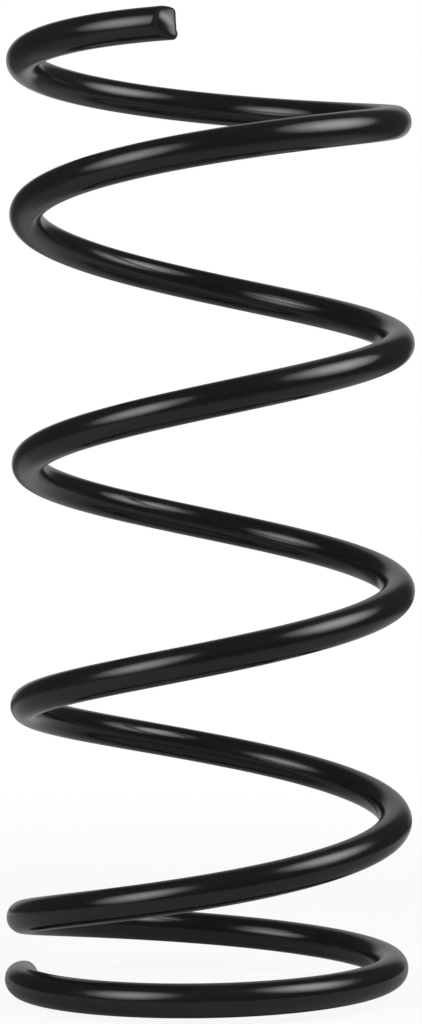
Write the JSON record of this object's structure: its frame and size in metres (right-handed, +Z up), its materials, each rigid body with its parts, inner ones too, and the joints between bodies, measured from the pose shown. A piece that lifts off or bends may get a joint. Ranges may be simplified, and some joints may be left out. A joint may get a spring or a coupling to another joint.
{
  "type": "suspension spring",
  "caption": "Coil spring of a car's suspension strut: black-coated round steel wire, wound right-handed, with a nearly flat low end coil, wide working coils and plain sheared ends.",
  "frame": {"origin": "on the coil's axis, level with the lowest point of the wire", "axes": "+Z up along the coil's axis, from the nearly flat low end coil to the top end; -Y is the front, where the top end's cut face shows; +X is to the right seen from the front"},
  "size_m": [0.1614, 0.159, 0.3798],
  "materials": {
    "black_coating": "gloss"
  },
  "bodies": {
    "root": {"coil": "black_coating"}
  },
  "joints": []
}
